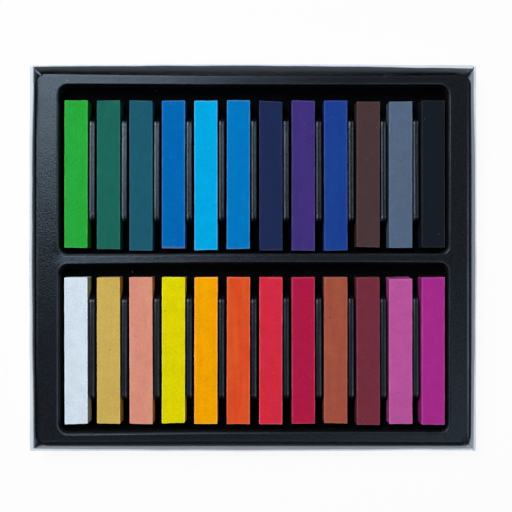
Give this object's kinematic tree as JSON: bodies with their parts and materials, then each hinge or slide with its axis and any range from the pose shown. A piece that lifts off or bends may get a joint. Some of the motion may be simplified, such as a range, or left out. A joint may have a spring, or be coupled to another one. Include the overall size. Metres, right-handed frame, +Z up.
{
  "type": "pastel drawer box",
  "caption": "Open flat paperboard tray with a black moulded insert that keeps square soft pastel sticks in rows, each stick between two ridges.",
  "frame": {"origin": "middle of the tray's underside, which is the middle of its footprint on the table", "axes": "+X along the rows of sticks (the long side), +Y from the front row to the back row along the sticks, +Z up out of the tray"},
  "size_m": [0.1928, 0.1662, 0.0162],
  "materials": {
    "carton_board": "matte",
    "insert_sheet": "satin",
    "pigment_green": "matte",
    "pigment_dark_green": "matte",
    "pigment_dark_teal": "matte",
    "pigment_blue": "matte",
    "pigment_cyan": "matte",
    "pigment_mid_blue": "matte",
    "pigment_navy": "matte",
    "pigment_violet": "matte",
    "pigment_ultramarine": "matte",
    "pigment_umber": "matte",
    "pigment_grey": "matte",
    "pigment_black": "matte",
    "pigment_white": "matte",
    "pigment_ochre": "matte",
    "pigment_salmon": "matte",
    "pigment_yellow": "matte",
    "pigment_amber": "matte",
    "pigment_orange": "matte",
    "pigment_red": "matte",
    "pigment_crimson": "matte",
    "pigment_sienna": "matte",
    "pigment_maroon": "matte",
    "pigment_pink": "matte",
    "pigment_magenta": "matte"
  },
  "bodies": {
    "carton": {"carton": "carton_board"},
    "insert": {"insert": "insert_sheet"},
    "stick_green": {"stick_green": "pigment_green"},
    "stick_dark_green": {"stick_dark_green": "pigment_dark_green"},
    "stick_dark_teal": {"stick_dark_teal": "pigment_dark_teal"},
    "stick_blue": {"stick_blue": "pigment_blue"},
    "stick_cyan": {"stick_cyan": "pigment_cyan"},
    "stick_mid_blue": {"stick_mid_blue": "pigment_mid_blue"},
    "stick_navy": {"stick_navy": "pigment_navy"},
    "stick_violet": {"stick_violet": "pigment_violet"},
    "stick_ultramarine": {"stick_ultramarine": "pigment_ultramarine"},
    "stick_umber": {"stick_umber": "pigment_umber"},
    "stick_grey": {"stick_grey": "pigment_grey"},
    "stick_black": {"stick_black": "pigment_black"},
    "stick_white": {"stick_white": "pigment_white"},
    "stick_ochre": {"stick_ochre": "pigment_ochre"},
    "stick_salmon": {"stick_salmon": "pigment_salmon"},
    "stick_yellow": {"stick_yellow": "pigment_yellow"},
    "stick_amber": {"stick_amber": "pigment_amber"},
    "stick_orange": {"stick_orange": "pigment_orange"},
    "stick_red": {"stick_red": "pigment_red"},
    "stick_crimson": {"stick_crimson": "pigment_crimson"},
    "stick_sienna": {"stick_sienna": "pigment_sienna"},
    "stick_maroon": {"stick_maroon": "pigment_maroon"},
    "stick_pink": {"stick_pink": "pigment_pink"},
    "stick_magenta": {"stick_magenta": "pigment_magenta"}
  },
  "joints": [
    {"name": "insert_lift", "type": "slide", "parent": "carton", "child": "insert", "axis": [0, 0, 1], "range_m": [0, 0.03]},
    {"name": "green_lift", "type": "slide", "parent": "insert", "child": "stick_green", "axis": [0, 0, 1], "range_m": [0, 0.025]},
    {"name": "dark_green_lift", "type": "slide", "parent": "insert", "child": "stick_dark_green", "axis": [0, 0, 1], "range_m": [0, 0.025]},
    {"name": "dark_teal_lift", "type": "slide", "parent": "insert", "child": "stick_dark_teal", "axis": [0, 0, 1], "range_m": [0, 0.025]},
    {"name": "blue_lift", "type": "slide", "parent": "insert", "child": "stick_blue", "axis": [0, 0, 1], "range_m": [0, 0.025]},
    {"name": "cyan_lift", "type": "slide", "parent": "insert", "child": "stick_cyan", "axis": [0, 0, 1], "range_m": [0, 0.025]},
    {"name": "mid_blue_lift", "type": "slide", "parent": "insert", "child": "stick_mid_blue", "axis": [0, 0, 1], "range_m": [0, 0.025]},
    {"name": "navy_lift", "type": "slide", "parent": "insert", "child": "stick_navy", "axis": [0, 0, 1], "range_m": [0, 0.025]},
    {"name": "violet_lift", "type": "slide", "parent": "insert", "child": "stick_violet", "axis": [0, 0, 1], "range_m": [0, 0.025]},
    {"name": "ultramarine_lift", "type": "slide", "parent": "insert", "child": "stick_ultramarine", "axis": [0, 0, 1], "range_m": [0, 0.025]},
    {"name": "umber_lift", "type": "slide", "parent": "insert", "child": "stick_umber", "axis": [0, 0, 1], "range_m": [0, 0.025]},
    {"name": "grey_lift", "type": "slide", "parent": "insert", "child": "stick_grey", "axis": [0, 0, 1], "range_m": [0, 0.025]},
    {"name": "black_lift", "type": "slide", "parent": "insert", "child": "stick_black", "axis": [0, 0, 1], "range_m": [0, 0.025]},
    {"name": "white_lift", "type": "slide", "parent": "insert", "child": "stick_white", "axis": [0, 0, 1], "range_m": [0, 0.025]},
    {"name": "ochre_lift", "type": "slide", "parent": "insert", "child": "stick_ochre", "axis": [0, 0, 1], "range_m": [0, 0.025]},
    {"name": "salmon_lift", "type": "slide", "parent": "insert", "child": "stick_salmon", "axis": [0, 0, 1], "range_m": [0, 0.025]},
    {"name": "yellow_lift", "type": "slide", "parent": "insert", "child": "stick_yellow", "axis": [0, 0, 1], "range_m": [0, 0.025]},
    {"name": "amber_lift", "type": "slide", "parent": "insert", "child": "stick_amber", "axis": [0, 0, 1], "range_m": [0, 0.025]},
    {"name": "orange_lift", "type": "slide", "parent": "insert", "child": "stick_orange", "axis": [0, 0, 1], "range_m": [0, 0.025]},
    {"name": "red_lift", "type": "slide", "parent": "insert", "child": "stick_red", "axis": [0, 0, 1], "range_m": [0, 0.025]},
    {"name": "crimson_lift", "type": "slide", "parent": "insert", "child": "stick_crimson", "axis": [0, 0, 1], "range_m": [0, 0.025]},
    {"name": "sienna_lift", "type": "slide", "parent": "insert", "child": "stick_sienna", "axis": [0, 0, 1], "range_m": [0, 0.025]},
    {"name": "maroon_lift", "type": "slide", "parent": "insert", "child": "stick_maroon", "axis": [0, 0, 1], "range_m": [0, 0.025]},
    {"name": "pink_lift", "type": "slide", "parent": "insert", "child": "stick_pink", "axis": [0, 0, 1], "range_m": [0, 0.025]},
    {"name": "magenta_lift", "type": "slide", "parent": "insert", "child": "stick_magenta", "axis": [0, 0, 1], "range_m": [0, 0.025]}
  ]
}
